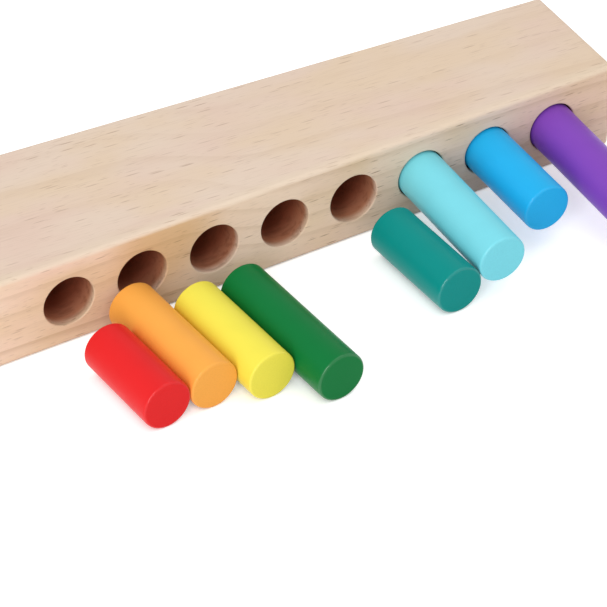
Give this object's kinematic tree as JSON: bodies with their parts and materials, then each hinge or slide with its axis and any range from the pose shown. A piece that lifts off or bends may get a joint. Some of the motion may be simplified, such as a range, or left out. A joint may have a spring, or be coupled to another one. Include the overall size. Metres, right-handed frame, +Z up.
{
  "type": "cylinder block toy",
  "caption": "Beech block with a row of blind round sockets, and painted round pegs: some sit in their sockets, the rest lie beside it.",
  "frame": {"origin": "middle of the block's underside, half way along it and at half its mean depth", "axes": "+X along the block, +Y to its back face, +Z up; the sockets open towards -Y"},
  "size_m": [0.279, 0.1494, 0.038],
  "materials": {
    "beech": "fine sanded bare beech",
    "red_paint": "satin paint on wood",
    "orange_paint": "satin paint on wood",
    "yellow_paint": "satin paint on wood",
    "green_paint": "satin paint on wood",
    "teal_paint": "satin paint on wood",
    "cyan_paint": "satin paint on wood",
    "blue_paint": "satin paint on wood",
    "purple_paint": "satin paint on wood"
  },
  "bodies": {
    "block": {"block": "beech"},
    "red_peg": {"red_peg": "red_paint"},
    "orange_peg": {"orange_peg": "orange_paint"},
    "yellow_peg": {"yellow_peg": "yellow_paint"},
    "green_peg": {"green_peg": "green_paint"},
    "teal_peg": {"teal_peg": "teal_paint"},
    "cyan_peg": {"cyan_peg": "cyan_paint"},
    "blue_peg": {"blue_peg": "blue_paint"},
    "purple_peg": {"purple_peg": "purple_paint"}
  },
  "joints": [
    {"name": "red_peg_lift", "type": "slide", "parent": "block", "child": "red_peg", "axis": [0, 0, 1], "range_m": [0, 0.08]},
    {"name": "orange_peg_lift", "type": "slide", "parent": "block", "child": "orange_peg", "axis": [0, 0, 1], "range_m": [0, 0.08]},
    {"name": "yellow_peg_lift", "type": "slide", "parent": "block", "child": "yellow_peg", "axis": [0, 0, 1], "range_m": [0, 0.08]},
    {"name": "green_peg_lift", "type": "slide", "parent": "block", "child": "green_peg", "axis": [0, 0, 1], "range_m": [0, 0.08]},
    {"name": "teal_peg_lift", "type": "slide", "parent": "block", "child": "teal_peg", "axis": [-0.4226, 0, 0.9063], "range_m": [0, 0.08]},
    {"name": "cyan_peg_pull", "type": "slide", "parent": "block", "child": "cyan_peg", "axis": [0.0191, -0.9994, -0.0273], "range_m": [0, 0.034]},
    {"name": "blue_peg_pull", "type": "slide", "parent": "block", "child": "blue_peg", "axis": [0.0266, -0.9994, -0.02], "range_m": [0, 0.034]},
    {"name": "purple_peg_pull", "type": "slide", "parent": "block", "child": "purple_peg", "axis": [0.0081, -0.9994, -0.0323], "range_m": [0, 0.034]}
  ]
}
